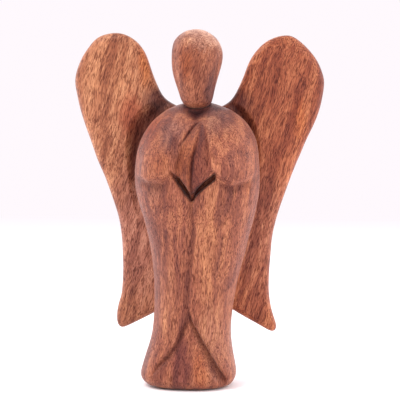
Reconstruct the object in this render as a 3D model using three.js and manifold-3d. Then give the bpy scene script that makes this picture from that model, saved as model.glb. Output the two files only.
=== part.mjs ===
// Carved wooden angel with folded wings and praying hands, 200 mm tall.
// Millimetres, +Z up, the figure faces -Y, origin at the middle of the base's underside.
// Four carved pieces (body, head, two wings) are glued up on hidden round dowels.

import * as THREE from 'three';
import { LoftGeometry } from 'three/addons/geometries/LoftGeometry.js';
import { mergeVertices } from 'three/addons/utils/BufferGeometryUtils.js';
import Module from 'manifold-3d';

const wasm = await Module();
wasm.setup();

// ---------------------------------------------------------------- driving dimensions

const GLUE_GAP = 0.3; // glue line left between touching pieces
const NECK_SEAM = 158.5; // height of the joint between the body and the head
const NECK = { x: 5.4, y: -1, radiusX: 8.3, radiusY: 8, top: 172 };

const WING_SEAM = 4.4; // the wings meet behind the body along this upright line
const WING_PLANE = 13.8; // depth of the wings' middle plane at that line
const WING_SWEEP = THREE.MathUtils.degToRad(9);
const WING_THICKNESS = 8.4;
const WING_EDGE_ROUND = 4.2;
const WING_CROWN = 0.7; // extra half thickness in the middle of a wing
const ROOM_BEHIND = 40; // the body keeps out of this much room behind a wing

const WING_DOWEL = { radius: 2.5, length: 11, depth: 9 };
const NECK_DOWEL = { radius: 3, length: 24, height: 158 };
const UPPER_DOWELS = 132; // heights of the wing dowels
const LOWER_DOWELS = 74;

const BODY_SIDES = 54; // points round a section, and the tallest step between sections
const BODY_STEP = 3.6;
const HEAD_SIDES = 36;
const HEAD_STEP = 3.5;
const DOWEL_SIDES = 24;

const LEAF = { top: 149.5, elbow: 121, tip: 104.5, halfWidth: 10.4, rise: 2.3, foot: 4, head: 8.6 };
const SLEEVE = { low: 111, lowEnd: 120, highEnd: 138, high: 153, inner: 9, outer: 20, rise: 2 };

// The body's outline, each row [height, left, right, front, back, squareness].
const BODY_ROWS = [
  [0, -21, 22, -17.2, 16.8, 2.6],
  [1.5, -24.6, 25.2, -20, 19.2, 2.6],
  [5, -27, 27, -21.6, 20.4, 2.6],
  [9, -26.6, 27, -21.5, 20.6, 2.6],
  [16, -24.6, 25.8, -20.7, 20.2, 2.5],
  [29, -20.7, 24.2, -19.6, 19, 2.4],
  [44, -19.3, 25.2, -19.4, 18.4, 2.3],
  [60, -19.6, 28.1, -20.3, 18.4, 2.2],
  [76, -21.2, 32.3, -21.6, 19, 2.2],
  [92, -24.8, 36.3, -23.2, 20, 2.2],
  [107.5, -29.2, 39.6, -25, 20.6, 2.2],
  [116, -30, 40.1, -25.8, 20.6, 2.2],
  [124, -29.7, 39.8, -25.8, 20.2, 2.2],
  [133, -28.3, 39, -24.8, 19.4, 2.2],
  [140.5, -25.5, 37, -23, 18, 2.1],
  [147, -21.5, 33, -19.6, 16.2, 2.1],
  [151.5, -16.8, 28.5, -15.4, 14, 2.1],
  [155, -12, 23.5, -11.8, 11, 2],
  [157.2, -6.5, 17.5, -9.8, 8.4, 2],
  [158.5, -2.9, 13.7, -9, 7, 2],
];

// The head's outline, each row [height, left, right, front, back].
const HEAD_ROWS = [
  [155.4, 3, 8, -11.4, -7.4],
  [156.1, 0, 11, -13, -5],
  [158.3, -2.7, 13.7, -14.6, -2],
  [165, -5, 15.1, -16, 4],
  [171.5, -7.4, 16.8, -16.5, 7.8],
  [178, -9, 18.5, -16.2, 10.2],
  [185, -9.3, 19.6, -15.2, 11.2],
  [191.5, -8.5, 17.8, -12.8, 9.6],
  [195.5, -6, 14.8, -10.2, 7.2],
  [198.4, -1.8, 10.4, -6.4, 3.4],
  [199.4, 3, 6.6, -3.2, 0.4],
];

// Wing outlines [x, z], from the neck up over the top, down the outside and in under the tail.
const LEFT_WING = {
  outside: [
    [-3, 155.5], [-10, 158.5], [-16, 163], [-21.2, 173.5], [-26.1, 187.2], [-31.3, 194.6],
    [-38.8, 199.1], [-46.6, 200], [-55.4, 197.5], [-62.2, 190.4], [-66.7, 182.6], [-69.5, 173],
    [-68, 163], [-65.3, 152], [-58, 131.5], [-49, 109.5], [-42.5, 88.5], [-41, 70],
    [-41.6, 49.5], [-43.4, 42], [-44.6, 35], [-44.3, 29.6], [-42, 27], [-38.5, 28.2],
    [-31, 32], [-19.5, 38],
  ],
  spine: [[-24, 64], [-44, 168]],
};
const RIGHT_WING = {
  outside: [
    [11, 155], [18, 157.5], [23.6, 161.8], [29, 172.5], [33, 183], [38, 190],
    [44, 195.2], [52, 197.8], [58.8, 197], [67, 190], [72.4, 183], [75.6, 175],
    [76.2, 169], [74.8, 159], [71.4, 148.6], [61.9, 127.6], [53.9, 106.7], [47.6, 85.8],
    [45.4, 64.7], [45.2, 50], [46.6, 39.5], [49.5, 30.2], [48.9, 27], [46.5, 26.4],
    [40.8, 29.5], [28.5, 36.6], [22.7, 40.2],
  ],
  spine: [[27, 64], [50, 166]],
};
const WING_LOW = 50; // where the wings' under edges reach the seam
const WING_HIGH = 152.5; // where their upper edges reach it

// Knife cuts in the front: points [x, z] along the deepest line, then the cut's reach to its left
// and to its right and its depth at each point.
const HAND_CUT_LEFT = {
  path: [[-7.3, 121.3], [-3.6, 116.7], [0.5, 111], [4, 106]],
  left: [0.5, 1.7, 1.6, 1.1],
  right: [0.5, 1.7, 1.6, 1.1],
  depth: [0.8, 4, 4.8, 3],
};
const HAND_CUT_RIGHT = {
  path: [[4, 106], [5.2, 109.2], [10.5, 114.2], [16.2, 118.5]],
  left: [1, 1.4, 1.9, 2.1],
  right: [1, 1.3, 1.8, 2],
  depth: [3, 4.6, 5, 4],
};
const ROBE_FOLD = {
  path: [[3.9, 104.5], [4.4, 99], [5.1, 89], [4.9, 80], [3.6, 71.5], [2.7, 62.5], [1.8, 53.5], [1.2, 47]],
  left: [1.6, 2.6, 3.6, 4, 4, 4, 3.2, 2],
  right: [1, 1, 1, 1, 1, 1, 1, 1],
  depth: [1.6, 1.5, 1.4, 1.3, 1.2, 1.2, 1.2, 1.2],
};
const HEM_LEFT = {
  path: [[1.4, 44], [0.4, 37.9], [-2, 32.4], [-5.7, 24.5], [-10.3, 18.3], [-14.6, 14], [-17.6, 9.1]],
  left: [0.6, 0.9, 1, 1, 1, 0.9, 0.4],
  right: [0.8, 1.8, 2.4, 2.6, 2.6, 2.2, 0.6],
  depth: [0.5, 1.2, 1.4, 1.4, 1.4, 1.2, 0.3],
};
const HEM_RIGHT = {
  path: [[1.2, 46.8], [3.5, 38.5], [7.6, 30.7], [12.4, 22.3], [17.2, 13.4], [21.6, 6]],
  left: [1, 2, 3, 4.2, 5.6, 4.4],
  right: [0.6, 0.8, 0.8, 0.9, 0.9, 0.8],
  depth: [0.8, 1.9, 2.2, 2.4, 2.4, 1.4],
};

// ---------------------------------------------------------------- materials

function wood(colour, roughness) {
  return new THREE.MeshStandardMaterial({ color: colour, roughness, metalness: 0 });
}
const bodyWood = wood(0xa8694f, 0.45);
const headWood = wood(0xa5644a, 0.45);
const leftWingWood = wood(0xb06f4c, 0.45);
const rightWingWood = wood(0x9c5a41, 0.45);
const dowelWood = wood(0xc9a06c, 0.7);

// ---------------------------------------------------------------- small tools

function toSolid(geometry) {
  const bare = new THREE.BufferGeometry();
  bare.setAttribute('position', geometry.getAttribute('position'));
  bare.setIndex(geometry.getIndex());
  const merged = mergeVertices(bare, 1e-4);
  const mesh = new wasm.Mesh({
    numProp: 3,
    vertProperties: new Float32Array(merged.attributes.position.array),
    triVerts: new Uint32Array(merged.index.array),
  });
  return new wasm.Manifold(mesh);
}

function toMesh(solid, name, material) {
  const { vertProperties, triVerts } = solid.getMesh();
  const geometry = new THREE.BufferGeometry();
  geometry.setAttribute('position', new THREE.BufferAttribute(new Float32Array(vertProperties), 3));
  geometry.setIndex(new THREE.BufferAttribute(new Uint32Array(triVerts), 1));
  geometry.computeVertexNormals();
  const mesh = new THREE.Mesh(geometry, material);
  mesh.name = name;
  return mesh;
}

// Smooth curve through rows [position, value, ...]: the value in the given column.
function along(rows, column) {
  const slope = (i) => {
    const before = rows[Math.max(i - 1, 0)];
    const after = rows[Math.min(i + 1, rows.length - 1)];
    return (after[column] - before[column]) / (after[0] - before[0]);
  };
  return (position) => {
    let i = 0;
    while (i < rows.length - 2 && position > rows[i + 1][0]) i += 1;
    const span = rows[i + 1][0] - rows[i][0];
    const t = THREE.MathUtils.clamp((position - rows[i][0]) / span, 0, 1);
    const value = (2 * t ** 3 - 3 * t ** 2 + 1) * rows[i][column];
    const end = (3 * t ** 2 - 2 * t ** 3) * rows[i + 1][column];
    const bend = (t ** 3 - 2 * t ** 2 + t) * slope(i) + (t ** 3 - t ** 2) * slope(i + 1);
    return value + end + bend * span;
  };
}

// Heights that split every step between rows into pieces no longer than the given step.
function heights(rows, step) {
  const list = [rows[0][0]];
  for (let i = 1; i < rows.length; i += 1) {
    const from = rows[i - 1][0];
    const count = Math.ceil((rows[i][0] - from) / step);
    for (let k = 1; k <= count; k += 1) list.push(from + ((rows[i][0] - from) * k) / count);
  }
  return list;
}

const CAPPED = { capStart: true, capEnd: true };
const smooth = THREE.MathUtils.smoothstep;
const signedPower = (value, power) => Math.sign(value) * Math.abs(value) ** power;

// ---------------------------------------------------------------- body

const bodyLeft = along(BODY_ROWS, 1);
const bodyRight = along(BODY_ROWS, 2);
const bodyFront = along(BODY_ROWS, 3);
const bodyBack = along(BODY_ROWS, 4);
const bodySquareness = along(BODY_ROWS, 5);

// Praying hands: a raised leaf with a ridge down its middle, and two sleeve bulges beside it.
function leafRise(x, z) {
  const { top, elbow, tip, halfWidth, rise, foot, head } = LEAF;
  const part = z > elbow ? (top - z) / (top - elbow) : (z - tip) / (elbow - tip);
  if (part <= 0) return 0;
  const ridge = THREE.MathUtils.mapLinear(z, tip, top, foot, head);
  const reach = halfWidth * (z > elbow ? part ** 0.65 : part);
  const across = Math.abs(x - ridge) / reach;
  return across < 1 ? rise * (1 - across) * Math.min(1, part * 3) : 0;
}

function sleeveRise(x, z) {
  const { low, lowEnd, highEnd, high, inner, outer, rise } = SLEEVE;
  const upright = smooth(z, low, lowEnd) * (1 - smooth(z, highEnd, high));
  return rise * upright * smooth(Math.abs(x - NECK.x), inner, outer);
}

function bodySection(z, count) {
  const left = bodyLeft(z);
  const right = bodyRight(z);
  const power = 2 / bodySquareness(z);
  const middle = (left + right) / 2;
  const points = [];
  for (let k = 0; k < count; k += 1) {
    const angle = (2 * Math.PI * k) / count;
    const x = middle + ((right - left) / 2) * signedPower(Math.cos(angle), power);
    const depth = Math.abs(Math.sin(angle)) ** power;
    const facesFront = Math.sin(angle) < 0;
    const rise = facesFront ? (leafRise(x, z) + sleeveRise(x, z)) * smooth(depth, 0.2, 0.75) : 0;
    const y = facesFront ? bodyFront(z) * depth - rise : bodyBack(z) * depth;
    points.push(new THREE.Vector3(x, y, z));
  }
  return points;
}

// Depth of the front surface at a place seen from the front.
function frontDepth(x, z) {
  const left = bodyLeft(z);
  const right = bodyRight(z);
  const n = bodySquareness(z);
  const across = Math.min(Math.abs(x - (left + right) / 2) / ((right - left) / 2), 0.999);
  const depth = (1 - across ** n) ** (1 / n);
  return bodyFront(z) * depth - leafRise(x, z) - sleeveRise(x, z);
}

// A blade-shaped cutter that follows the front surface along a path.
function knife({ path, left, right, depth }) {
  const outside = 1.5;
  const sections = path.map(([x, z], i) => {
    const before = path[Math.max(i - 1, 0)];
    const after = path[Math.min(i + 1, path.length - 1)];
    const across = new THREE.Vector2(after[1] - before[1], before[0] - after[0]).normalize();
    if (across.x < 0) across.negate();
    const surface = frontDepth(x, z);
    const flare = 1 + outside / depth[i];
    const corner = (reach) => new THREE.Vector3(
      x + across.x * reach * flare, surface - outside, z + across.y * reach * flare,
    );
    return [corner(right[i]), new THREE.Vector3(x, surface + depth[i], z), corner(-left[i])];
  });
  const downward = path[0][1] > path.at(-1)[1];
  return toSolid(new LoftGeometry(downward ? sections.reverse() : sections, CAPPED));
}

// ---------------------------------------------------------------- head

const headLeft = along(HEAD_ROWS, 1);
const headRight = along(HEAD_ROWS, 2);
const headFront = along(HEAD_ROWS, 3);
const headBack = along(HEAD_ROWS, 4);

function ovalSection(left, right, front, back, z, count) {
  const points = [];
  for (let k = 0; k < count; k += 1) {
    const angle = (2 * Math.PI * k) / count;
    const x = (left + right) / 2 + ((right - left) / 2) * Math.cos(angle);
    const y = (front + back) / 2 + ((back - front) / 2) * Math.sin(angle);
    points.push(new THREE.Vector3(x, y, z));
  }
  return points;
}

// The head with its neck, made larger all round by the given amount.
function headSolid(grow) {
  const rings = heights(HEAD_ROWS, HEAD_STEP).map((z, i) => {
    const edges = [headLeft(z) - grow, headRight(z) + grow, headFront(z) - grow, headBack(z) + grow];
    return ovalSection(...edges, i === 0 ? z - grow : z, HEAD_SIDES);
  });
  const egg = toSolid(new LoftGeometry(rings, CAPPED));
  const neckHeights = [NECK_SEAM - grow, NECK.top];
  const neckRings = neckHeights.map((z) => {
    const halfX = NECK.radiusX + grow;
    const halfY = NECK.radiusY + grow;
    const edges = [NECK.x - halfX, NECK.x + halfX, NECK.y - halfY, NECK.y + halfY];
    return ovalSection(...edges, z, HEAD_SIDES);
  });
  const neck = toSolid(new LoftGeometry(neckRings, CAPPED));
  return egg.add(neck);
}

// ---------------------------------------------------------------- wings

function wingOutline(wing, side) {
  const inner = WING_SEAM + side * (GLUE_GAP / 2);
  const outline = new THREE.Shape();
  outline.moveTo(...wing.outside[0]);
  outline.splineThru(wing.outside.slice(1).map(([x, z]) => new THREE.Vector2(x, z)));
  const steps = 6;
  for (let k = 0; k <= steps; k += 1) {
    outline.lineTo(inner, THREE.MathUtils.lerp(WING_LOW, WING_HIGH, k / steps));
  }
  const points = outline.getPoints(3);
  return side < 0 ? points : points.reverse();
}

function halfThickness(inset, reach) {
  const round = Math.sqrt(1 - (1 - Math.min(inset / WING_EDGE_ROUND, 1)) ** 2);
  return (WING_THICKNESS / 2) * round + WING_CROWN * smooth(inset, 0, reach);
}

// A pillow-edged board: rings step in from the rim towards the wing's spine, front and back.
// With it comes the room behind its middle plane, which the body keeps out of.
function wingSolid(wing, side, grow) {
  const outline = wingOutline(wing, side);
  const spine = new THREE.Line3(
    new THREE.Vector3(wing.spine[0][0], wing.spine[0][1], 0),
    new THREE.Vector3(wing.spine[1][0], wing.spine[1][1], 0),
  );
  const insets = [0.5, 1.6, 4.2];
  const shares = [0.5, 0.96];

  const ring = (inset, share, face) => outline.map((point) => {
    const rim = new THREE.Vector3(point.x, point.y, 0);
    const target = spine.closestPointToPoint(rim, true, new THREE.Vector3());
    const reach = rim.distanceTo(target);
    const distance = Math.max(inset, share * reach);
    const place = rim.lerp(target, (distance - grow) / reach);
    const bulge = distance > 0 ? halfThickness(distance, reach) + grow : 0;
    const middle = WING_PLANE + Math.abs(place.x - WING_SEAM) * Math.tan(WING_SWEEP);
    return new THREE.Vector3(place.x, middle + face * bulge, place.y);
  });
  const half = (face) => [
    ...insets.map((inset) => ring(inset, 0, face)),
    ...shares.map((share) => ring(0, share, face)),
  ];
  const rim = ring(0, 0, 0);
  const board = new LoftGeometry([...half(1).reverse(), rim, ...half(-1)], CAPPED);
  const farRim = rim.map((point) => point.clone().setY(point.y + ROOM_BEHIND));
  const behind = new LoftGeometry([farRim, rim], CAPPED);
  return { board: toSolid(board), behind: toSolid(behind) };
}

// ---------------------------------------------------------------- dowels

// A round dowel, larger all round by the given amount: that is its socket.
function dowelSolid({ radius, length, centre, upright }, grow) {
  const rod = new THREE.CylinderGeometry(
    radius + grow, radius + grow, length + 2 * grow, DOWEL_SIDES,
  );
  if (upright) rod.rotateX(Math.PI / 2);
  rod.translate(...centre);
  return toSolid(rod);
}

// ---------------------------------------------------------------- assembly

const figurine = new THREE.Group();

const bodyRings = heights(BODY_ROWS, BODY_STEP).map((z) => bodySection(z, BODY_SIDES));
let body = toSolid(new LoftGeometry(bodyRings, CAPPED));
for (const cut of [HAND_CUT_LEFT, HAND_CUT_RIGHT, ROBE_FOLD, HEM_LEFT, HEM_RIGHT]) {
  body = body.subtract(knife(cut));
}
body = body.subtract(headSolid(GLUE_GAP));
for (const cutter of [wingSolid(LEFT_WING, -1, GLUE_GAP), wingSolid(RIGHT_WING, 1, GLUE_GAP)]) {
  body = body.subtract(cutter.board).subtract(cutter.behind);
}

const neckDowel = {
  radius: NECK_DOWEL.radius,
  length: NECK_DOWEL.length,
  centre: [NECK.x, NECK.y, NECK_DOWEL.height],
  upright: true,
};
body = body.subtract(dowelSolid(neckDowel, GLUE_GAP));
const head = headSolid(0).subtract(dowelSolid(neckDowel, GLUE_GAP));
figurine.add(toMesh(head, 'head', headWood));
figurine.add(toMesh(dowelSolid(neckDowel, 0), 'neck_dowel', dowelWood));

const wings = [
  { name: 'left_wing', shape: LEFT_WING, side: -1, dowelsAt: [-12, -9], material: leftWingWood },
  { name: 'right_wing', shape: RIGHT_WING, side: 1, dowelsAt: [22, 18], material: rightWingWood },
];
for (const { name, shape, side, dowelsAt, material } of wings) {
  let board = wingSolid(shape, side, 0).board;
  const places = [['upper', dowelsAt[0], UPPER_DOWELS], ['lower', dowelsAt[1], LOWER_DOWELS]];
  for (const [place, x, z] of places) {
    const dowel = { ...WING_DOWEL, centre: [x, WING_DOWEL.depth, z], upright: false };
    body = body.subtract(dowelSolid(dowel, GLUE_GAP));
    board = board.subtract(dowelSolid(dowel, GLUE_GAP));
    figurine.add(toMesh(dowelSolid(dowel, 0), `${name}_${place}_dowel`, dowelWood));
  }
  figurine.add(toMesh(board, name, material));
}
figurine.add(toMesh(body, 'body', bodyWood));

export default figurine;
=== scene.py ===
"""Looks of the carved wooden angel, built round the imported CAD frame.

Each carved piece is turned into a distance field on one fine grid. There its facets are
smoothed away, the pieces are blended into each other with small coves as a carver leaves
them, and the knife cuts are made again with crisp edges. Every piece is then meshed on its
own and gets a procedural hardwood whose pores and streaks run through the solid.
Lengths in the carving part are millimetres, and Blender's objects are in metres.
"""

import math

import bpy
import numpy as np
import openvdb as vdb
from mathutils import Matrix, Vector


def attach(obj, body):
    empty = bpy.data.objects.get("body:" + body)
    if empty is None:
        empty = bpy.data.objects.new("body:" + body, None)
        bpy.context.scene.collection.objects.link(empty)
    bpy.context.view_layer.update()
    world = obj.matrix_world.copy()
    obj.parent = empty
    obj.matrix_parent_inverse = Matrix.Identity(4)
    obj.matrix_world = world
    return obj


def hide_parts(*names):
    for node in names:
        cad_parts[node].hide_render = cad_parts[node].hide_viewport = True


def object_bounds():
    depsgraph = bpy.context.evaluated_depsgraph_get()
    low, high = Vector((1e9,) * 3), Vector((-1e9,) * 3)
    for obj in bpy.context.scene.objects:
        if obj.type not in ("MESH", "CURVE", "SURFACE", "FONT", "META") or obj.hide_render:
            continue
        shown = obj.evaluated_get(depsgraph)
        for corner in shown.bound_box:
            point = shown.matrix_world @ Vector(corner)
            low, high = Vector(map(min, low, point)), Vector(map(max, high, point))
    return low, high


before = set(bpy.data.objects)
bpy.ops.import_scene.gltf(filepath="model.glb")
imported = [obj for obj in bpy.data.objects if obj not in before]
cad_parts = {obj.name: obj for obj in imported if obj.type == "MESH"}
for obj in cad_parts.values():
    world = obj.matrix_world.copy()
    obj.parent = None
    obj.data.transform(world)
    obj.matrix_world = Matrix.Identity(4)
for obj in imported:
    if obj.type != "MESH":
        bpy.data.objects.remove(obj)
cad_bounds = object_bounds()

MM = 0.001  # metres in a millimetre

# ------------------------------------------------------------------ camera

AIM = (6.5, 0.0, 104.2)  # what the camera looks at
CAMERA_DISTANCE = 624.5
CAMERA_AZIMUTH = math.radians(5.0)
CAMERA_ELEVATION = math.radians(3.5)
LENS = 100.0


def add_camera():
    data = bpy.data.cameras.new("camera")
    data.lens = LENS
    camera = bpy.data.objects.new("camera", data)
    bpy.context.scene.collection.objects.link(camera)
    back = Vector((
        math.sin(CAMERA_AZIMUTH) * math.cos(CAMERA_ELEVATION),
        -math.cos(CAMERA_AZIMUTH) * math.cos(CAMERA_ELEVATION),
        math.sin(CAMERA_ELEVATION),
    ))
    camera.location = (Vector(AIM) + back * CAMERA_DISTANCE) * MM
    camera.rotation_euler = (-back).to_track_quat("-Z", "Y").to_euler()
    bpy.context.scene.camera = camera


# ------------------------------------------------------------------ the carving grid

VOXEL = 0.63
BAND = 8.0  # how far from a surface its distance is known
MARGIN = 5.0  # room kept round the figure
BLUR_REACH = 2.6  # where a blur's bell curve is cut off, in sigmas

low_corner = np.array(cad_bounds[0]) / MM - MARGIN
high_corner = np.array(cad_bounds[1]) / MM + MARGIN
GRID_LOW = np.floor(low_corner / VOXEL).astype(int)
GRID_SHAPE = tuple(np.ceil(high_corner / VOXEL).astype(int) - GRID_LOW + 1)
XS, YS, ZS = (
    ((GRID_LOW[axis] + np.arange(GRID_SHAPE[axis])) * VOXEL).astype(np.float32)
    for axis in range(3)
)
MAP_X, MAP_Z = np.meshgrid(XS, ZS, indexing="ij")  # the figure seen from the front


def mesh_arrays(node):
    """Corners in millimetres and triangles of a CAD node."""
    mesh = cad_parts[node].data
    points = np.empty(len(mesh.vertices) * 3, np.float32)
    mesh.vertices.foreach_get("co", points)
    mesh.calc_loop_triangles()
    triangles = np.empty(len(mesh.loop_triangles) * 3, np.int32)
    mesh.loop_triangles.foreach_get("vertices", triangles)
    return points.reshape(-1, 3) / MM, triangles.reshape(-1, 3).astype(np.uint32)


def distance_field(node):
    """Distance from a CAD node's surface on the grid, negative inside."""
    points, triangles = mesh_arrays(node)
    grid = vdb.FloatGrid.createLevelSetFromPolygons(
        points.astype(np.float32),
        triangles=triangles,
        transform=vdb.createLinearTransform(voxelSize=VOXEL),
        halfWidth=BAND / VOXEL,
    )
    field = np.empty(GRID_SHAPE, np.float32)
    grid.copyToArray(field, ijk=tuple(int(v) for v in GRID_LOW))
    return field


def blurred(array, sigma):
    """Gaussian blur along every axis of a field or a map, sigma in millimetres."""
    reach = max(1, int(math.ceil(BLUR_REACH * sigma / VOXEL)))
    steps = np.arange(-reach, reach + 1)
    weights = np.exp(-0.5 * (steps * VOXEL / sigma) ** 2)
    weights = (weights / weights.sum()).astype(np.float32)
    for axis in range(array.ndim):
        padding = [(0, 0)] * array.ndim
        padding[axis] = (reach, reach)
        padded = np.pad(array, padding, mode="edge")
        total = np.zeros_like(array)
        length = array.shape[axis]
        for start, weight in enumerate(weights):
            part = [slice(None)] * array.ndim
            part[axis] = slice(start, start + length)
            total += weight * padded[tuple(part)]
        array = total
    return array


def front_depth(field):
    """Depth Y of the first surface met from the front, and where there is one, over the map."""
    inside = field < 0
    first = np.argmax(inside, axis=1)
    hit = inside.any(axis=1)
    first = np.maximum(first, 1)
    here = np.take_along_axis(field, first[:, None, :], 1)[:, 0, :]
    before = np.take_along_axis(field, first[:, None, :] - 1, 1)[:, 0, :]
    share = before / np.maximum(before - here, 1e-6)
    depth = YS[first - 1] + share * VOXEL
    return np.where(hit, depth, YS[-1]).astype(np.float32), hit


def smoothstep(value, low, high):
    t = np.clip((value - low) / (high - low), 0.0, 1.0)
    return t * t * (3.0 - 2.0 * t)


def smooth_union(a, b, reach):
    """The two solids joined, with a cove about as wide as reach in the corner."""
    mix = np.maximum(reach - np.abs(a - b), 0.0) / reach
    return np.minimum(a, b) - mix * mix * reach * 0.25


# ------------------------------------------------------------------ knife cuts

# Every cut is a path of points [x, z] seen from the front, along its deepest line. At each
# point it has a reach to the left and to the right, and a depth. Its wall is how many times
# steeper than a plain V its sides fall, its end is an x where it stops short, and its painted shade
# is how dark the cut is painted, standing in for the shade that falls in it.
HAND_CUT_LEFT = {
    "path": [(-7.6, 121.0), (-3.6, 116.5), (0.5, 110.9), (4.0, 105.8)],
    "left": [0.7, 1.9, 2.0, 1.8],
    "right": [0.7, 1.9, 2.0, 1.8],
    "depth": [1.4, 3.0, 3.4, 3.4],
    "wall": 2.0,
    "painted_shade": 0.36,
}
HAND_CUT_RIGHT = {
    "path": [(4.0, 105.8), (5.2, 108.4), (10.5, 113.4), (18.0, 119.3)],
    "left": [1.8, 1.9, 2.1, 2.3],
    "right": [1.8, 1.8, 2.0, 2.3],
    "depth": [3.4, 3.4, 3.4, 3.4],
    "wall": 2.0,
    "painted_shade": 0.36,
    "end": 16.6,
}
ROBE_FOLD = {
    "path": [
        (3.9, 104.5), (4.4, 99.0), (5.1, 89.0), (4.9, 80.0), (3.6, 71.5), (2.7, 62.5), (1.8, 53.5),
        (1.2, 47.0),
    ],
    "left": [1.8, 3.0, 5.0, 6.5, 7.0, 7.0, 5.5, 3.0],
    "right": [0.9, 0.8, 0.8, 0.8, 0.8, 0.8, 0.8, 0.8],
    "depth": [1.6, 1.3, 1.1, 1.0, 1.0, 1.0, 1.0, 1.2],
    "wall": 1.0,
    "painted_shade": 0.34,
}
HEM_LEFT = {
    "path": [
        (1.4, 44.0), (0.4, 37.9), (-2.0, 32.4), (-5.7, 24.5), (-10.3, 18.3), (-14.6, 14.0), (-18.4, 8.6),
    ],
    "left": [0.8, 1.0, 1.1, 1.1, 1.1, 1.0, 0.7],
    "right": [1.0, 2.2, 3.0, 3.2, 3.0, 2.4, 1.0],
    "depth": [0.6, 1.3, 1.5, 1.5, 1.5, 1.4, 0.8],
    "wall": 1.1,
    "painted_shade": 0.48,
}
# Its painted shade stands in for the shadow the right robe flap casts to its left.
HEM_RIGHT = {
    "path": [(1.2, 46.8), (3.5, 38.5), (7.6, 30.7), (12.4, 22.3), (17.2, 13.4), (21.9, 5.6)],
    "left": [1.4, 2.4, 3.4, 4.6, 6.2, 4.8],
    "right": [0.7, 0.8, 0.8, 0.8, 0.8, 0.7],
    "depth": [0.9, 1.8, 2.0, 2.2, 2.4, 1.5],
    "wall": 1.1,
    "painted_shade": 0.52,
}
HAND_EDGE = {
    "path": [(8.4, 148.4), (5.1, 145.6), (1.7, 140.6), (-1.4, 136.2), (-3.0, 132.0)],
    "left": [0.7, 1.0, 1.2, 1.1, 0.6],
    "right": [0.6, 0.8, 0.8, 0.7, 0.5],
    "depth": [0.4, 1.2, 1.3, 0.9, 0.0],
    "wall": 1.0,
    "painted_shade": 1.0,
}
PALM_LINE = {
    "path": [(8.9, 143.0), (7.0, 136.0), (5.6, 129.2), (4.8, 123.5), (4.2, 116.0), (4.0, 108.0)],
    "left": [0.5, 1.2, 2.4, 2.6, 1.8, 1.2],
    "right": [0.4, 0.7, 0.9, 0.9, 0.9, 0.8],
    "depth": [0.1, 0.6, 1.1, 1.1, 1.0, 0.8],
    "wall": 1.0,
    "painted_shade": 0.85,
}
# A hollow under the chin, painted dark as the shadow under the head.
CHIN_HOLLOW = {
    "path": [(0.6, 154.0), (5.6, 151.6), (10.6, 153.8)],
    "left": [2.4, 4.0, 2.6],
    "right": [2.4, 4.0, 2.6],
    "depth": [0.8, 2.2, 1.0],
    "wall": 1.0,
    "painted_shade": 0.9,
}
# Shallow cuts under the sleeves' lower edges, painted dark as the shadow the sleeves cast.
UNDER_SLEEVE = {
    "path": [(-30.0, 118.5), (-26.0, 115.6), (-20.0, 112.8), (-13.0, 112.6), (-8.5, 115.0)],
    "left": [1.5, 2.4, 3.0, 3.0, 1.5],
    "right": [1.5, 2.4, 3.0, 3.0, 1.5],
    "depth": [0.1, 0.5, 0.7, 0.6, 0.1],
    "wall": 1.0,
    "painted_shade": 0.42,
}
UNDER_CUFF = {
    "path": [(16.8, 116.5), (20.0, 113.2), (26.0, 111.2), (33.0, 113.4), (39.0, 117.5)],
    "left": [1.5, 2.4, 3.0, 3.0, 2.0],
    "right": [1.5, 2.4, 3.0, 3.0, 2.0],
    "depth": [0.3, 0.6, 0.7, 0.6, 0.2],
    "wall": 1.0,
    "painted_shade": 0.42,
}
BODY_CUTS = [
    HAND_CUT_LEFT, HAND_CUT_RIGHT, ROBE_FOLD, HEM_LEFT, HEM_RIGHT, HAND_EDGE, PALM_LINE, CHIN_HOLLOW,
    UNDER_SLEEVE, UNDER_CUFF,
]

# The valleys between the wings and the body, cut down into the wings, with painted shade in them for the
# shade that falls between wings and body.
VALLEY_LEFT = {
    "path": [
        (-13.0, 159.4), (-17.0, 157.4), (-20.4, 153.8), (-24.0, 149.6), (-27.6, 145.2), (-30.0, 140.5),
        (-31.8, 134.6), (-33.4, 128.0), (-33.6, 120.0), (-33.4, 111.0), (-32.2, 102.5), (-28.6, 89.0),
    ],
    "left": [2.0, 5.0, 7.5, 8.5, 8.5, 8.0, 7.0, 5.0, 3.5, 3.0, 2.5, 2.0],
    "right": [7.0, 11.0, 14.0, 14.0, 14.0, 12.0, 10.0, 8.0, 6.0, 5.0, 4.0, 3.0],
    "depth": [0.2, 1.8, 3.8, 4.4, 4.4, 4.4, 4.2, 3.4, 2.6, 2.0, 1.2, 0.4],
    "wall": 1.0,
    "painted_shade": 0.78,
}
VALLEY_RIGHT = {
    "path": [
        (22.0, 158.4), (25.5, 156.4), (28.0, 153.2), (31.0, 149.2), (34.0, 144.6), (36.2, 138.5),
        (38.2, 131.0), (39.2, 124.5), (39.0, 112.0),
    ],
    "left": [4.0, 6.0, 7.0, 7.0, 6.0, 5.0, 4.0, 3.0, 3.0],
    "right": [1.6, 3.0, 4.2, 4.2, 4.2, 3.4, 2.2, 1.6, 1.4],
    "depth": [0.2, 1.6, 2.8, 2.8, 2.4, 1.8, 1.0, 0.5, 0.2],
    "wall": 1.0,
    "painted_shade": 0.68,
}

PAINTED_SHADE_GAIN = 1.6  # a cut has its full painted shade from 1 / 1.6 of its greatest depth down
CUT_ROUNDING = 0.24  # blur that just rounds the cuts' edges and bottoms
PAINTED_SHADE_ROUNDING = 0.3
STOP_LENGTH = 0.7  # a cut with an end runs out over this length
FILL_ROUNDS = 600


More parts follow.
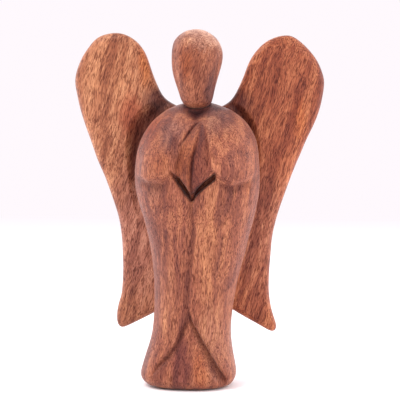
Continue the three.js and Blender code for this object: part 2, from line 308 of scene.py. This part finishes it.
def along_path(cut):
    """The nearest point of a cut's path for each place of the map: the signed distance to it,
    positive on the path's right-hand side, and the cut's left and right reach and depth there."""
    path = np.array(cut["path"], np.float32)
    nearest = np.full(MAP_X.shape, np.inf, np.float32)
    across = np.zeros_like(nearest)
    values = {name: np.zeros_like(nearest) for name in ("left", "right", "depth")}
    for i in range(len(path) - 1):
        start, run = path[i], path[i + 1] - path[i]
        offset_x, offset_z = MAP_X - start[0], MAP_Z - start[1]
        t = np.clip((offset_x * run[0] + offset_z * run[1]) / (run @ run), 0.0, 1.0)
        away_x, away_z = offset_x - t * run[0], offset_z - t * run[1]
        distance = np.hypot(away_x, away_z)
        closer = distance < nearest
        nearest = np.where(closer, distance, nearest)
        across = np.where(closer, np.where(away_x < 0, -distance, distance), across)
        for name, store in values.items():
            value = cut[name][i] + t * (cut[name][i + 1] - cut[name][i])
            np.copyto(store, value, where=closer)
    return across, values["left"], values["right"], values["depth"]


def cut_depth(cut):
    """How deep a cut goes at each place of the map."""
    across, left, right, depth = along_path(cut)
    share = 1.0 - np.abs(across) / np.where(across < 0, left, right)
    end = cut.get("end", XS[-1])
    stopped = 1.0 - smoothstep(MAP_X, end, end + STOP_LENGTH)
    return depth * np.clip(share * cut["wall"], 0.0, 1.0) * stopped


def together(cuts):
    """Maps of the depth and the painted shade of all these cuts."""
    depth = np.zeros(MAP_X.shape, np.float32)
    painted_shade = np.zeros_like(depth)
    for cut in cuts:
        own = cut_depth(cut)
        depth = np.maximum(depth, own)
        painted_shade_share = np.minimum(own / max(cut["depth"]) * PAINTED_SHADE_GAIN, 1.0)
        painted_shade = np.maximum(painted_shade, painted_shade_share * cut["painted_shade"])
    return blurred(depth, CUT_ROUNDING), blurred(painted_shade, PAINTED_SHADE_ROUNDING)


def near_cuts(cuts, room):
    """The map's places within the given distance of a cut's edges."""
    near = np.zeros(MAP_X.shape, bool)
    for cut in cuts:
        across, left, right, _ = along_path(cut)
        near |= (across > -left - room) & (across < right + room)
    return near


def filled_over(depth, holes):
    """The depth map with its holes filled by a surface stretched across them."""
    filled = depth.copy()
    for _ in range(FILL_ROUNDS):
        mean = np.zeros_like(filled)
        mean[1:-1, 1:-1] = (
            filled[:-2, 1:-1] + filled[2:, 1:-1] + filled[1:-1, :-2] + filled[1:-1, 2:]
        ) / 4
        np.copyto(filled, mean, where=holes)
    return filled


# ------------------------------------------------------------------ hands and sleeves

# The praying hands seen from the front: height, left edge, ridge and right edge.
HANDS = [
    (104.5, 4.0, 4.0, 4.0),
    (112.0, -1.2, 4.1, 9.2),
    (121.0, -5.4, 4.6, 16.0),
    (127.0, -4.6, 5.3, 14.9),
    (133.0, -2.4, 6.2, 14.0),
    (139.0, 0.8, 7.4, 13.0),
    (145.0, 4.8, 8.8, 11.6),
    (149.0, 8.9, 8.9, 8.9),
]
HANDS_EDGE = -1.0  # how far the palms' outer edges and their ridge stand proud
HANDS_RIDGE = 1.9
HANDS_BEVEL = 0.9  # width of the step at the hands' outline
PALM_CHANGE = 0.5  # half the width in which one palm's painted shading gives way to the other's

SLEEVE_RISE = 2.2
SLEEVE_LIP = (-1.0, 2.2)  # heights above a sleeve's lower edge between which it rises
SLEEVE_FADE = (8.0, 26.0)  # and between which it sinks back into the shoulder
SLEEVE_END = 4.0  # how far past its ends a sleeve fades out sideways
SLEEVE_FOOT = [(-28.0, 118.0), (-20.0, 115.0), (-12.0, 115.6), (-7.0, 119.5)]
CUFF_FOOT = [(15.5, 121.0), (20.5, 116.0), (26.0, 113.6), (33.0, 115.8), (39.0, 119.5)]


def carve_hands():
    """The palms meet in a proud ridge and slope down to their outer edges. Gives their rise,
    and where the left and the right palm are."""
    height, left, ridge, right = np.array(HANDS).T
    left, ridge, right = (np.interp(MAP_Z, height, column) for column in (left, ridge, right))
    inset = np.minimum(MAP_X - left, right - MAP_X)
    half = np.where(MAP_X < ridge, ridge - left, right - ridge)
    roof = 1.0 - np.abs(MAP_X - ridge) / np.maximum(half, 0.1)
    rise = HANDS_EDGE + (HANDS_RIDGE - HANDS_EDGE) * np.clip(roof, 0.0, 1.0)
    hands = smoothstep(inset, 0.0, HANDS_BEVEL)
    left_side = 1.0 - smoothstep(MAP_X - ridge, -PALM_CHANGE, PALM_CHANGE)
    return hands * rise, hands * left_side, hands * (1.0 - left_side)


def sleeve_rise(foot):
    """A sleeve hangs over the robe: proud along its lower edge, level with the shoulder above."""
    edge_x, edge_z = np.array(foot).T
    above = MAP_Z - np.interp(MAP_X, edge_x, edge_z)
    inside = smoothstep(MAP_X, edge_x[0] - SLEEVE_END, edge_x[0])
    inside *= 1.0 - smoothstep(MAP_X, edge_x[-1], edge_x[-1] + SLEEVE_END)
    hanging = smoothstep(above, *SLEEVE_LIP) * (1.0 - smoothstep(above, *SLEEVE_FADE))
    return SLEEVE_RISE * inside * hanging


# ------------------------------------------------------------------ carving

FACET_BLUR = 1.3  # rounds off the CAD facets
CUT_ROOM = 1.2  # the CAD's own cuts are filled this far past their edges
PLUG_DEPTH = 7.0  # and this deep
RISE_ROUNDING = 0.4
FACING_BLUR = 0.5
FRONT_FULL = -4.0  # cuts act fully in front of this depth and not at all behind FRONT_NONE
FRONT_NONE = 4.0

SEAM_X = 4.4  # the wings' middle plane: it starts here at this depth and sweeps back
SEAM_Y = 13.8
SWEEP = math.radians(9)
VALLEY_STOP = 1.0  # valleys go no further behind the wings' middle plane
VALLEY_CLEAR = 0.6  # outside them the knife stays this far in front of the wood
VALLEY_ROUNDING = 0.6
FAR_CLEAR = 20.0  # and where there is no wing it stays this far in front of the middle plane
SHADED_FROM = (-12.0, -8.0)  # a valley's painted shade starts between these distances from that plane
SHADED_TO = 2.5  # and it ends this far behind it

HALF_GAP = 0.15  # the CAD's pieces grow by half their gap while they are joined
WING_COVE = 1.2  # the cove between body and wings, and what the shoulders add to it
SHOULDER_COVE = 3.6
SHOULDER = (146.0, 157.0)  # heights between which the cove widens
SEAM_COVE = 1.0
NECK_COVE = 1.6
BUMP_HEIGHT = 0.10  # slow bumps of the hand-finished surface, and how wide they are
BUMP_SIZE = 11.0
CREASE_BLUR = 2.0  # a blur as wide as this fills the creases, which shows where they are
GLUE_LINE = 0.12  # width of the joint lines between the pieces


def uneven(amount, size, seed):
    """Slow bumps over the whole grid."""
    coarse_shape = [int(n * VOXEL / size) + 4 for n in GRID_SHAPE]
    coarse = np.random.default_rng(seed).normal(size=coarse_shape)
    field = coarse
    for axis in range(3):
        position = np.arange(GRID_SHAPE[axis]) * VOXEL / size + 1
        index = position.astype(int)
        t = position - index
        t = t * t * (3 - 2 * t)
        shape = [1, 1, 1]
        shape[axis] = -1
        t = t.reshape(shape)
        lower = np.take(field, index, axis=axis)
        upper = np.take(field, index + 1, axis=axis)
        field = lower * (1 - t) + upper * t
    return (amount * field).astype(np.float32)


def healed_body():
    """The body's distance field with the CAD's cuts filled and its facets smoothed."""
    field = distance_field("body")
    depth, hit = front_depth(field)
    holes = near_cuts(BODY_CUTS, CUT_ROOM) & hit
    fill = filled_over(depth, holes)[:, None, :]
    y = YS[None, :, None]
    plug = np.maximum(fill - y, y - fill - PLUG_DEPTH)
    field = np.where(holes[:, None, :], np.minimum(field, plug), field)
    return blurred(field, FACET_BLUR)


def carve_body():
    """The body's distance field, and fields of its shades: the cuts' painted shade, and where the palms
    are for their painted shading.
    """
    field = healed_body()
    hands, left_palm, right_palm = carve_hands()
    raised = hands + sleeve_rise(SLEEVE_FOOT) + sleeve_rise(CUFF_FOOT)
    raised = blurred(raised.astype(np.float32), RISE_ROUNDING)
    cuts, painted_shade = together(BODY_CUTS)
    carve = cuts - raised
    depth, hit = front_depth(field)
    slope_x = np.gradient(depth, VOXEL, axis=0)
    slope_z = np.gradient(depth, VOXEL, axis=1)
    facing = blurred(hit / np.sqrt(1.0 + slope_x**2 + slope_z**2), FACING_BLUR)
    front = 1.0 - smoothstep(YS, FRONT_FULL, FRONT_NONE)
    shades = {
        name: (seen[:, None, :] * front[None, :, None]).astype(np.float32)
        for name, seen in (("painted_shade_share", painted_shade), ("left_palm", left_palm), ("right_palm", right_palm))
    }
    return field + (carve * facing)[:, None, :] * front[None, :, None], shades


def carve_valleys(wings):
    """The wings with the valleys cut down into their front faces, and the valleys' painted shade."""
    valleys, painted_shade = together([VALLEY_LEFT, VALLEY_RIGHT])
    front, hit = front_depth(wings)
    middle = (SEAM_Y + np.abs(XS - SEAM_X) * math.tan(SWEEP))[:, None]
    clear = VALLEY_CLEAR * (1.0 - smoothstep(valleys, 0.0, VALLEY_CLEAR))
    floor = np.minimum(front + valleys, middle + VALLEY_STOP) - clear
    floor = np.where(hit, floor, middle - FAR_CLEAR).astype(np.float32)
    floor = blurred(floor, VALLEY_ROUNDING)
    y = YS[None, :, None]
    behind = y - middle[:, :, None]
    shade = smoothstep(behind, *SHADED_FROM) * (behind < SHADED_TO)
    wings = np.maximum(wings, floor[:, None, :] - y)
    return wings, (painted_shade[:, None, :] * shade).astype(np.float32)


def joined(own):
    """The pieces as one solid with coves in its corners, and the painted shade of its valleys."""
    cove = WING_COVE + SHOULDER_COVE * smoothstep(ZS[None, None, :], *SHOULDER)
    wings = smooth_union(own["left_wing"] - HALF_GAP, own["right_wing"] - HALF_GAP, SEAM_COVE)
    wings, valley_painted_shade = carve_valleys(wings)
    whole = smooth_union(own["body"] - HALF_GAP, wings, cove)
    whole = smooth_union(whole, own["head"] - HALF_GAP, NECK_COVE) + HALF_GAP
    return whole + uneven(BUMP_HEIGHT, BUMP_SIZE, seed=4), valley_painted_shade


def carve_pieces():
    """Distance fields of the finished pieces, and fields of their shades."""
    body, shades = carve_body()
    own = {"body": body}
    for node in ("head", "left_wing", "right_wing"):
        own[node] = blurred(distance_field(node), FACET_BLUR)
    whole, valley_painted_shade = joined(own)
    shades["painted_shade_share"] = np.maximum(shades["painted_shade_share"], valley_painted_shade)
    shades["crease"] = whole - blurred(whole, CREASE_BLUR)

    pieces = {}
    for node, field in own.items():
        others = [other for name, other in own.items() if name != node]
        border = (field - np.minimum.reduce(others)) / 2 + GLUE_LINE / 2
        pieces[node] = np.maximum(whole, border)
    return pieces, shades


# ------------------------------------------------------------------ meshes


def sampled(field, points):
    """Values of a field at points in millimetres."""
    position = points / VOXEL - GRID_LOW
    base = np.clip(np.floor(position).astype(int), 0, np.array(GRID_SHAPE) - 2)
    part = position - base
    total = np.zeros(len(points))
    for corner in np.ndindex(2, 2, 2):
        offset = np.array(corner)
        weight = np.prod(np.where(offset, part, 1 - part), axis=1)
        index = base + offset
        total += weight * field[index[:, 0], index[:, 1], index[:, 2]]
    return total


def mesh_piece(name, field, shades):
    """Mesh of a piece's distance field. Each shade is a field kept as a point attribute."""
    grid = vdb.FloatGrid(BAND)
    grid.copyFromArray(field, ijk=tuple(int(v) for v in GRID_LOW))
    grid.transform = vdb.createLinearTransform(voxelSize=VOXEL)
    points, quads = grid.convertToQuads(0.0)
    mesh = bpy.data.meshes.new(name)
    mesh.vertices.add(len(points))
    mesh.vertices.foreach_set("co", (points * MM).astype(np.float32).ravel())
    mesh.loops.add(quads.size)
    mesh.loops.foreach_set("vertex_index", quads[:, ::-1].astype(np.int32).ravel())
    mesh.polygons.add(len(quads))
    mesh.polygons.foreach_set("loop_start", np.arange(0, quads.size, 4, dtype=np.int32))
    mesh.update(calc_edges=True)
    mesh.validate()
    mesh.polygons.foreach_set("use_smooth", np.ones(len(mesh.polygons), bool))
    for shade, values in shades.items():
        attribute = mesh.attributes.new(shade, "FLOAT", "POINT")
        attribute.data.foreach_set("value", sampled(values, points).astype(np.float32))
    piece = bpy.data.objects.new(name, mesh)
    bpy.context.scene.collection.objects.link(piece)
    return piece


# ------------------------------------------------------------------ node trees


class Nodes:
    """Short calls for building the node tree of a material or a world."""

    def __init__(self, owner):
        owner.use_nodes = True
        self.tree = owner.node_tree
        self.tree.nodes.clear()

    def plug(self, socket, value):
        """Gives a socket a constant or links it to another node's output."""
        if isinstance(value, bpy.types.NodeSocket):
            self.tree.links.new(value, socket)
        else:
            socket.default_value = value

    def add(self, kind, inputs=None, **settings):
        node = self.tree.nodes.new(kind)
        for key, value in settings.items():
            setattr(node, key, value)
        for key, value in (inputs or {}).items():
            self.plug(node.inputs[key], value)
        return node

    def math(self, operation, a, b=0.0):
        node = self.add("ShaderNodeMath", {0: a, 1: b}, operation=operation)
        return node.outputs[0]

    def vector(self, operation, a, b):
        node = self.add("ShaderNodeVectorMath", {0: a, 1: b}, operation=operation)
        return node.outputs[0]

    def between(self, value, low, high, to_low=0.0, to_high=1.0):
        inputs = {"Value": value, "From Min": low, "From Max": high, "To Min": to_low, "To Max": to_high}
        return self.add("ShaderNodeMapRange", inputs, clamp=True).outputs["Result"]

    def noise(self, place, size, detail=2.0, roughness=0.5):
        """Noise whose marks are as large as size says."""
        inputs = {
            "Vector": self.vector("DIVIDE", place, size),
            "Scale": 1.0,
            "Detail": detail,
            "Roughness": roughness,
        }
        return self.add("ShaderNodeTexNoise", inputs).outputs["Fac"]

    def attribute(self, name):
        return self.add("ShaderNodeAttribute", attribute_name=name).outputs["Fac"]

    def mix(self, share, a, b, blend="MIX"):
        node = self.add("ShaderNodeMix", data_type="RGBA", blend_type=blend)
        for socket, value in ((node.inputs[0], share), (node.inputs[6], a), (node.inputs[7], b)):
            self.plug(socket, value)
        return node.outputs[2]


def colour(red, green, blue):
    return (red, green, blue, 1.0)


# ------------------------------------------------------------------ wood

# Marks in the wood are sizes across, across and along the fibres, in millimetres.
BANDS = (9.0, 9.0, 85.0)
STREAKS = (2.6, 2.6, 26.0)
HAIRS = (0.8, 0.8, 9.0)
RAGGED = (3.0, 3.0, 16.0)
FLECKS = (0.6, 0.6, 5.0)
LARGE_PORES = (0.52, 0.52, 5.0)
SMALL_PORES = (0.40, 0.40, 2.8)

BAND_SHARE = 0.42  # what each kind of streak adds to the tone
STREAK_SHARE = 0.38
HAIR_SHARE = 0.20
TONE_STEP = 0.08  # change of tone from dark to middle, and from middle to light

DRIFT_SCALE = 0.025  # how often and how far the fibres drift from straight
DRIFT = (7.0, 7.0, 0.0)
RAGGEDNESS = 0.45  # how far a patch's edge wanders, in its own radii
PATCH_CORE = 0.45  # a patch has its full tint inside this radius and none outside the rim
PATCH_RIM = 1.1
CREASE_PAINTED_SHADE = 0.6  # the most painted shade that a crease takes; cuts with painted shade may take more
PORE_DEPTH = 0.10

PORE = colour(0.40, 0.29, 0.26)  # all of these multiply the wood's own colour
FLECK = colour(1.20, 1.30, 1.35)
# Painted shade: this dark tint darkens creases, cuts and valleys where shade falls.
PAINTED_SHADE_TINT = colour(0.19, 0.10, 0.17)
# Painted shading of the praying hands: the left palm golden as the facet turned to the light, the right
# palm darker as the facet turned away.
PALM_PAINTED_SHADING = {"left_palm": colour(0.84, 0.72, 0.58), "right_palm": colour(0.66, 0.53, 0.57)}

# How the fibres lean from upright seen from the front, and the dark, middle and light tones.
WING_LEAN = math.radians(-16)
LEANS = {"body": math.radians(-5), "head": WING_LEAN, "left_wing": WING_LEAN, "right_wing": WING_LEAN}
WING_GRAIN = 1.0  # size of the pores: they are finer in body and head
BODY_GRAIN = 0.8
TONES = {
    "body": (colour(0.190, 0.051, 0.031), colour(0.31, 0.093, 0.049), colour(0.44, 0.156, 0.076)),
    "head": (colour(0.175, 0.044, 0.022), colour(0.275, 0.080, 0.039), colour(0.38, 0.130, 0.064)),
    "left_wing": (colour(0.25, 0.076, 0.036), colour(0.375, 0.134, 0.064), colour(0.50, 0.210, 0.104)),
    "right_wing": (colour(0.24, 0.055, 0.025), colour(0.39, 0.112, 0.049), colour(0.54, 0.190, 0.082)),
}
DOWEL_TONES = (colour(0.45, 0.28, 0.15), colour(0.55, 0.38, 0.2), colour(0.62, 0.45, 0.26))

# Patches of another tone and of painted light and shade: their middle, their radii and what they
# multiply the colour by.
TONE_AND_PAINTED_LIGHT_PATCHES = {
    "body": [
        {"centre": (15, -20, 76), "size": (11, 18, 42), "tint": (1.18, 1.30, 1.22)},
        {"centre": (15, -20, 27), "size": (9, 16, 24), "tint": (1.22, 1.46, 1.55)},
        {"centre": (-10, -20, 44), "size": (7, 16, 28), "tint": (1.20, 1.36, 1.32)},
        {"centre": (-2, -22, 14), "size": (7, 14, 18), "tint": (0.75, 0.66, 0.82)},
        {"centre": (9, -22, 13), "size": (5, 14, 15), "tint": (1.05, 0.92, 0.76)},
        {"centre": (-7, -20, 141), "size": (7, 14, 15), "tint": (0.80, 0.85, 1.05)},
        {"centre": (-16, -20, 130), "size": (12, 16, 22), "tint": (0.82, 0.73, 0.68)},
        {"centre": (-13, -20, 82), "size": (12, 16, 38), "tint": (0.83, 0.80, 0.83)},
        {"centre": (-21, -12, 146), "size": (7, 14, 13), "tint": (1.02, 0.78, 0.60)},
        {"centre": (34, -10, 122), "size": (6, 14, 18), "tint": (1.12, 1.00, 0.76)},
        # Painted highlight on the right sleeve.
        {"centre": (22, -22, 126), "size": (12, 14, 13), "tint": (1.28, 1.40, 1.42)},
        # Painted shadow under the left sleeve's lower edge.
        {"centre": (-18, -20, 110), "size": (9, 14, 6), "tint": (0.82, 0.85, 0.95)},
        # Painted sheen on the shoulder right of the neck.
        {"centre": (17, -14, 148), "size": (11, 14, 12), "tint": (0.84, 0.98, 1.20)},
        # Painted shade round the neck, under the head.
        {"centre": (7, -10, 156), "size": (19, 20, 7), "tint": (0.40, 0.33, 0.46)},
    ],
    "head": [
        # Painted sheen on the top of the head.
        {"centre": (7, 0, 205), "size": (23, 25, 21), "tint": (2.0, 3.5, 4.9)},
        {"centre": (0, -14, 184), "size": (4, 12, 15), "tint": (1.15, 1.02, 0.76)},
        {"centre": (6, -14, 176), "size": (4, 12, 9), "tint": (0.70, 0.60, 0.62)},
        # Painted shade on the lower right of the head.
        {"centre": (14, -8, 162), "size": (5, 14, 13), "tint": (0.55, 0.45, 0.55)},
    ],
    "left_wing": [
        {"centre": (-30, 15, 84), "size": (22, 24, 44), "tint": (0.96, 0.98, 1.25)},
        {"centre": (-48, 15, 176), "size": (20, 24, 22), "tint": (1.06, 1.08, 1.04)},
        {"centre": (-26, 15, 184), "size": (5, 24, 17), "tint": (1.15, 0.95, 0.70)},
        {"centre": (-35, 15, 152), "size": (8, 24, 17), "tint": (0.84, 0.60, 0.56)},
        # Painted shade in the corner between the left wing, the neck and the shoulder.
        {"centre": (-17, 15, 161), "size": (12, 24, 9), "tint": (0.36, 0.30, 0.40)},
    ],
    "right_wing": [
        {"centre": (58, 20, 172), "size": (28, 24, 34), "tint": (0.78, 0.70, 0.70)},
        {"centre": (42, 20, 84), "size": (22, 24, 40), "tint": (0.92, 1.02, 1.22)},
        # Painted shade in the corner between the right wing, the neck and the shoulder.
        {"centre": (25, 15, 159), "size": (12, 24, 9), "tint": (0.46, 0.38, 0.48)},
        {"centre": (62, 20, 150), "size": (5, 24, 14), "tint": (1.15, 1.10, 0.90)},
    ],
}


def leaning(nodes, place, lean):
    """Places turned so that Z runs along the fibres, which drift a little from straight."""
    turned = nodes.add(
        "ShaderNodeVectorRotate", {"Vector": place, "Angle": lean}, rotation_type="Y_AXIS",
    ).outputs[0]
    drift = nodes.add("ShaderNodeTexNoise", {"Vector": turned, "Scale": DRIFT_SCALE, "Detail": 2.0})
    drift = nodes.vector("SUBTRACT", drift.outputs["Color"], (0.5, 0.5, 0.5))
    return nodes.vector("ADD", turned, nodes.vector("MULTIPLY", drift, DRIFT))


def streaked(nodes, bands, streaks, hairs, tones):
    """Colour of the streaks."""
    dark, middle, light = tones
    tone = nodes.math(
        "ADD", nodes.math("MULTIPLY", bands, BAND_SHARE), nodes.math("MULTIPLY", streaks, STREAK_SHARE)
    )
    tone = nodes.math("ADD", tone, nodes.math("MULTIPLY", hairs, HAIR_SHARE))
    base = nodes.mix(nodes.between(tone, 0.5 - TONE_STEP, 0.5), dark, middle)
    return nodes.mix(nodes.between(tone, 0.5, 0.5 + TONE_STEP), base, light)


def spread(nodes, place, ragged, patch):
    """Soft edged patch of a tint, for another tone and for painted light and shade: 1 in its middle and
    0 outside.
    """
    offset = nodes.vector("DIVIDE", nodes.vector("SUBTRACT", place, patch["centre"]), patch["size"])
    away = nodes.add("ShaderNodeVectorMath", {0: offset}, operation="LENGTH").outputs["Value"]
    return nodes.between(nodes.math("ADD", away, ragged), PATCH_CORE, PATCH_RIM, 1.0, 0.0)


def patched(nodes, base, place, fibres, patches):
    """The colour with its patches, some of painted light and shade, and the palms' painted shading."""
    ragged = nodes.noise(fibres, RAGGED, 3.0, 0.6)
    ragged = nodes.between(ragged, 0.0, 1.0, -RAGGEDNESS, RAGGEDNESS)
    for patch in patches:
        share = spread(nodes, place, ragged, patch)
        base = nodes.mix(share, base, colour(*patch["tint"]), "MULTIPLY")
    # The palms' painted shading.
    for palm, tint in PALM_PAINTED_SHADING.items():
        base = nodes.mix(nodes.attribute(palm), base, tint, "MULTIPLY")
    return base


def dashes(nodes, threads, size, shift, low, high):
    """Short marks along the grain, as wide and as long as size says."""
    moved = nodes.vector("ADD", threads, (shift, 1.7 * shift, 2.3 * shift))
    return nodes.between(nodes.noise(moved, size, 1.0), low, high)


def pored(nodes, base, fibres, grain):
    """The colour with bright flecks and dark pores, and where the pores are."""
    threads = nodes.vector("DIVIDE", fibres, (grain, grain, grain))
    fleck = dashes(nodes, threads, FLECKS, 31.0, 0.54, 0.66)
    base = nodes.mix(fleck, base, FLECK, "MULTIPLY")
    large = dashes(nodes, threads, LARGE_PORES, 0.0, 0.55, 0.61)
    small = dashes(nodes, threads, SMALL_PORES, 17.0, 0.55, 0.63)
    pore = nodes.math("MAXIMUM", large, nodes.math("MULTIPLY", small, 0.8))
    return nodes.mix(pore, base, PORE, "MULTIPLY"), pore


def wood(name, lean, tones, patches=(), grain=1.0):
    """Oiled hardwood whose marks run through the solid, with painted shade in its hollows."""
    material = bpy.data.materials.new(name)
    nodes = Nodes(material)
    place = nodes.add("ShaderNodeTexCoord").outputs["Object"]
    place = nodes.vector("MULTIPLY", place, (1 / MM, 1 / MM, 1 / MM))
    fibres = leaning(nodes, place, lean)
    bands = nodes.noise(fibres, BANDS, 2.0, 0.55)
    streaks = nodes.noise(fibres, STREAKS, 3.0, 0.6)
    hairs = nodes.noise(fibres, HAIRS, 2.0, 0.6)
    base = streaked(nodes, bands, streaks, hairs, tones)
    base = patched(nodes, base, place, fibres, patches)
    base, pore = pored(nodes, base, fibres, grain)

    # Painted shade in the creases, and in the cuts and valleys as their painted shade attribute says.
    painted_shade_mask = nodes.between(nodes.attribute("crease"), 0.2, 0.92, 0.0, CREASE_PAINTED_SHADE)
    painted_shade_mask = nodes.math("MAXIMUM", painted_shade_mask, nodes.between(nodes.attribute("painted_shade_share"), 0.05, 0.9))
    base = nodes.mix(painted_shade_mask, base, PAINTED_SHADE_TINT, "MULTIPLY")

    relief = nodes.math("SUBTRACT", nodes.math("MULTIPLY", hairs, 0.3), pore)
    bump = nodes.add("ShaderNodeBump", {"Height": relief, "Strength": 0.6, "Distance": PORE_DEPTH * MM})
    rough = nodes.between(streaks, 0.3, 0.7, 0.36, 0.46)
    shader = nodes.add("ShaderNodeBsdfPrincipled", {
        "Base Color": base,
        "Roughness": nodes.math("ADD", rough, nodes.math("MULTIPLY", pore, 0.2)),
        "Normal": bump.outputs[0],
        "Specular IOR Level": nodes.between(painted_shade_mask, 0.0, 1.0, 0.25, 0.08),
        "Sheen Weight": 0.10,
        "Sheen Roughness": 0.4,
    })
    nodes.add("ShaderNodeOutputMaterial", {"Surface": shader.outputs[0]})
    return material


# ------------------------------------------------------------------ studio

HORIZON = colour(1.0, 0.945, 0.985)
SKY_FRONT = 0.45  # brightness of the sky overhead in front of the figure and behind it
SKY_BACK = 1.9
FLOOR_SIZE = 12.0  # metres
FLOOR_DROP = 0.0003  # just under the base, so that the two faces don't coincide
MELT = (0.6, 1.2)  # the floor turns into the horizon between these distances, in metres

# Soft square lamps aimed at the middle of the figure: place, power and tint.
LAMP_SIZE = 420
LAMPS = {
    "key": ((-380, -330, 720), 4.0, (1.0, 0.985, 0.975)),
    "fill": ((520, -420, 420), 1.5, (1.0, 0.98, 0.985)),
    "left side": ((-560, 150, 170), 1.5, (1.0, 0.97, 0.985)),
    "right side": ((580, 150, 170), 1.5, (1.0, 0.97, 0.985)),
}


def add_lamps():
    for name, (place, power, tint) in LAMPS.items():
        data = bpy.data.lights.new(name, "AREA")
        data.size = LAMP_SIZE * MM
        data.energy = power
        data.color = tint
        lamp = bpy.data.objects.new(name, data)
        bpy.context.scene.collection.objects.link(lamp)
        lamp.location = Vector(place) * MM
        aim = Vector(AIM) * MM - lamp.location
        lamp.rotation_euler = aim.to_track_quat("-Z", "Y").to_euler()


def add_sky():
    """A pale pink light tent, level at the horizon and brightest over the figure's back."""
    world = bpy.data.worlds.new("tent")
    nodes = Nodes(world)
    way = nodes.add("ShaderNodeTexCoord").outputs["Generated"]
    way = nodes.add("ShaderNodeSeparateXYZ", {0: way})
    overhead = nodes.between(way.outputs["Y"], -0.7, 0.7, SKY_FRONT, SKY_BACK)
    strength = nodes.between(way.outputs["Z"], 0.13, 0.35, 1.0, overhead)
    glow = nodes.add("ShaderNodeBackground", {"Color": HORIZON, "Strength": strength})
    nodes.add("ShaderNodeOutputWorld", {"Surface": glow.outputs[0]})
    bpy.context.scene.world = world


def add_floor():
    """A white floor that melts into the horizon well behind the figure."""
    bpy.ops.mesh.primitive_plane_add(size=FLOOR_SIZE, location=(0, 0, -FLOOR_DROP))
    floor = bpy.context.object
    floor.name = "floor"
    material = bpy.data.materials.new("floor")
    nodes = Nodes(material)
    shader = nodes.add("ShaderNodeBsdfPrincipled", {
        "Base Color": colour(0.97, 0.955, 0.965),
        "Roughness": 0.9,
        "Specular IOR Level": 0.1,
    })
    place = nodes.add("ShaderNodeTexCoord").outputs["Object"]
    depth = nodes.add("ShaderNodeSeparateXYZ", {0: place}).outputs["Y"]
    glow = nodes.add("ShaderNodeEmission", {"Color": HORIZON})
    surface = nodes.add("ShaderNodeMixShader", {
        0: nodes.between(depth, *MELT),
        1: shader.outputs[0],
        2: glow.outputs[0],
    })
    nodes.add("ShaderNodeOutputMaterial", {"Surface": surface.outputs[0]})
    floor.data.materials.append(material)


# ------------------------------------------------------------------ assembly


def add_carved_pieces():
    fields, shades = carve_pieces()
    for node, field in fields.items():
        piece = mesh_piece("carved_" + node, field, shades)
        grain = WING_GRAIN if node.endswith("wing") else BODY_GRAIN
        material = wood(node + "_wood", LEANS[node], TONES[node], TONE_AND_PAINTED_LIGHT_PATCHES[node], grain)
        piece.data.materials.append(material)
        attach(piece, "root")
        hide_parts(node)


def finish_dowels():
    """The dowels keep their CAD meshes and get a plain pale wood."""
    dowel_wood = wood("dowel_wood", 0.0, DOWEL_TONES)
    for name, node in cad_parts.items():
        if name.endswith("dowel"):
            node.data.materials.clear()
            node.data.materials.append(dowel_wood)


add_camera()
bpy.context.scene.view_settings.view_transform = "Standard"
add_sky()
add_lamps()
add_floor()
add_carved_pieces()
finish_dowels()
